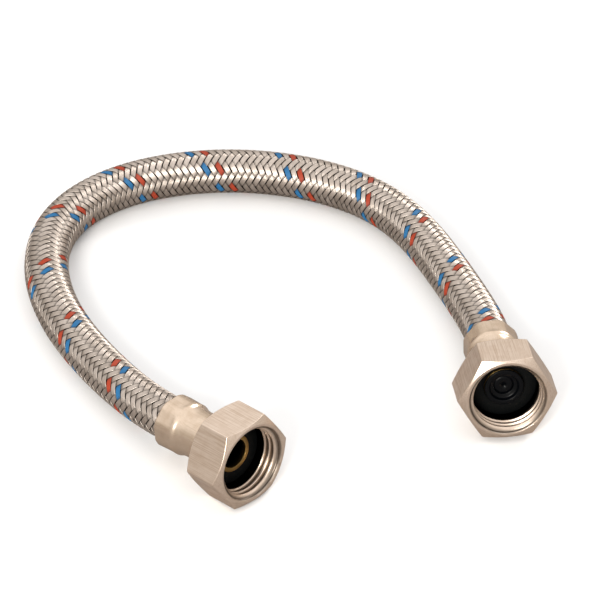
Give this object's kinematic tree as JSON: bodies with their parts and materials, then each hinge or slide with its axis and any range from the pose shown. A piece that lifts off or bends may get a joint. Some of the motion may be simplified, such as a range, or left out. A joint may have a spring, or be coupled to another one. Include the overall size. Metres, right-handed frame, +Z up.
{
  "type": "braided supply line",
  "caption": "Flexible water supply line: rubber tube in a braided steel sleeve with colour tracers, swivel hex nut at both ends, non-return valve in one.",
  "frame": {"origin": "where the valve end nut's thread starts, on its axis, 1.5 mm inside its mouth", "axes": "+Z up from the level surface the line lies on, +Y from the mouth towards the hose as seen from above, +X to the right seen from in front of the mouth"},
  "size_m": [0.139, 0.1517, 0.0256],
  "materials": {
    "nickel_plate": "nickel-plated brass, machined and brushed",
    "ferrule_plate": "nickel-plated brass, pressed and crimped",
    "steel_braid": "woven bright wire with one blue and one red tracer strand",
    "raw_brass": "turned brass",
    "black_rubber": "moulded black rubber",
    "tube_rubber": "extruded black rubber",
    "valve_plastic": "moulded black plastic",
    "spring_steel": "drawn stainless spring wire"
  },
  "bodies": {
    "valve_end": {"valve_end_nipple": "raw_brass", "valve_end_ferrule": "ferrule_plate", "valve_end_gasket": "black_rubber", "valve_body": "valve_plastic", "valve_o_ring": "black_rubber", "valve_guide": "valve_plastic", "valve_spring": "spring_steel", "inner_tube_01": "tube_rubber", "braid_sleeve_01": "steel_braid"},
    "valve_end_nut": {"valve_end_nut": "nickel_plate"},
    "poppet": {"valve_poppet": "valve_plastic"},
    "hose_02": {"inner_tube_02": "tube_rubber", "braid_sleeve_02": "steel_braid"},
    "hose_03": {"inner_tube_03": "tube_rubber", "braid_sleeve_03": "steel_braid"},
    "hose_04": {"inner_tube_04": "tube_rubber", "braid_sleeve_04": "steel_braid"},
    "hose_05": {"inner_tube_05": "tube_rubber", "braid_sleeve_05": "steel_braid"},
    "hose_06": {"inner_tube_06": "tube_rubber", "braid_sleeve_06": "steel_braid"},
    "hose_07": {"inner_tube_07": "tube_rubber", "braid_sleeve_07": "steel_braid"},
    "hose_08": {"inner_tube_08": "tube_rubber", "braid_sleeve_08": "steel_braid"},
    "hose_09": {"inner_tube_09": "tube_rubber", "braid_sleeve_09": "steel_braid"},
    "hose_10": {"inner_tube_10": "tube_rubber", "braid_sleeve_10": "steel_braid"},
    "plain_end": {"inner_tube_11": "tube_rubber", "braid_sleeve_11": "steel_braid", "plain_end_nipple": "raw_brass", "plain_end_ferrule": "ferrule_plate", "plain_end_gasket": "black_rubber"},
    "plain_end_nut": {"plain_end_nut": "nickel_plate"}
  },
  "joints": [
    {"name": "valve_end_nut_swivel", "type": "hinge", "parent": "valve_end", "child": "valve_end_nut", "pos_m": [0, 0, 0], "axis": [0, 0.9863, -0.165], "continuous": true},
    {"name": "valve_leg_bend_1", "type": "hinge", "parent": "valve_end", "child": "hose_02", "pos_m": [-0.00158, 0.04635, -0.00698], "axis": [0, 0, 1], "range_deg": [-16.7, 1.5], "stiffness_Nm_per_rad": 0.05},
    {"name": "valve_leg_bend", "type": "hinge", "parent": "hose_02", "child": "hose_03", "pos_m": [-0.01736, 0.09303, -0.00731], "axis": [0, 0, 1], "range_deg": [-27.3, 2.2], "stiffness_Nm_per_rad": 0.05},
    {"name": "valve_leg_bend_3", "type": "hinge", "parent": "hose_03", "child": "hose_04", "pos_m": [-0.0311, 0.1074, -0.00731], "axis": [0, 0, 1], "range_deg": [-22.3, 1.9], "stiffness_Nm_per_rad": 0.05},
    {"name": "crown_bend_1", "type": "hinge", "parent": "hose_04", "child": "hose_05", "pos_m": [-0.05423, 0.11777, -0.00731], "axis": [0, 0, 1], "range_deg": [-20.1, 1.8], "stiffness_Nm_per_rad": 0.05},
    {"name": "crown_bend_2", "type": "hinge", "parent": "hose_05", "child": "hose_06", "pos_m": [-0.07855, 0.11942, -0.00731], "axis": [0, 0, 1], "range_deg": [-18.6, 1.6], "stiffness_Nm_per_rad": 0.05},
    {"name": "crown_bend_3", "type": "hinge", "parent": "hose_06", "child": "hose_07", "pos_m": [-0.09587, 0.11483, -0.00731], "axis": [0, 0, 1], "range_deg": [-22.3, 1.9], "stiffness_Nm_per_rad": 0.05},
    {"name": "crown_bend", "type": "hinge", "parent": "hose_07", "child": "hose_08", "pos_m": [-0.11012, 0.10409, -0.00731], "axis": [0, 0, 1], "range_deg": [-28.5, 2.3], "stiffness_Nm_per_rad": 0.05},
    {"name": "plain_leg_bend", "type": "hinge", "parent": "hose_08", "child": "hose_09", "pos_m": [-0.11769, 0.08794, -0.00731], "axis": [0, 0, 1], "range_deg": [-22.8, 1.8], "stiffness_Nm_per_rad": 0.05},
    {"name": "plain_leg_bend_2", "type": "hinge", "parent": "hose_09", "child": "hose_10", "pos_m": [-0.11842, 0.07003, -0.00731], "axis": [0, 0, 1], "range_deg": [-21.9, 1.9], "stiffness_Nm_per_rad": 0.05},
    {"name": "plain_leg_bend_3", "type": "hinge", "parent": "hose_10", "child": "plain_end", "pos_m": [-0.10468, 0.02901, -0.00626], "axis": [0, 0, 1], "range_deg": [-17.7, 1.5], "stiffness_Nm_per_rad": 0.05},
    {"name": "plain_end_nut_swivel", "type": "hinge", "parent": "plain_end", "child": "plain_end_nut", "pos_m": [-0.07186, -0.01829, -0.0003], "axis": [0.6021, -0.7904, 0.1132], "continuous": true},
    {"name": "valve_poppet_slide", "type": "slide", "parent": "valve_end", "child": "poppet", "axis": [0, 0.9863, -0.165], "range_m": [0, 0.0016], "stiffness_N_per_m": 120, "springref_m": -0.002, "deforming": ["valve_spring"]}
  ],
  "couplings": [
    {"joint": "valve_leg_bend_1", "follows": "valve_leg_bend", "ratio": 0.607},
    {"joint": "valve_leg_bend_3", "follows": "valve_leg_bend", "ratio": 0.8131},
    {"joint": "crown_bend_1", "follows": "crown_bend", "ratio": 0.6983},
    {"joint": "crown_bend_2", "follows": "crown_bend", "ratio": 0.6465},
    {"joint": "crown_bend_3", "follows": "crown_bend", "ratio": 0.7768},
    {"joint": "plain_leg_bend_2", "follows": "plain_leg_bend", "ratio": 0.9546},
    {"joint": "plain_leg_bend_3", "follows": "plain_leg_bend", "ratio": 0.77}
  ]
}
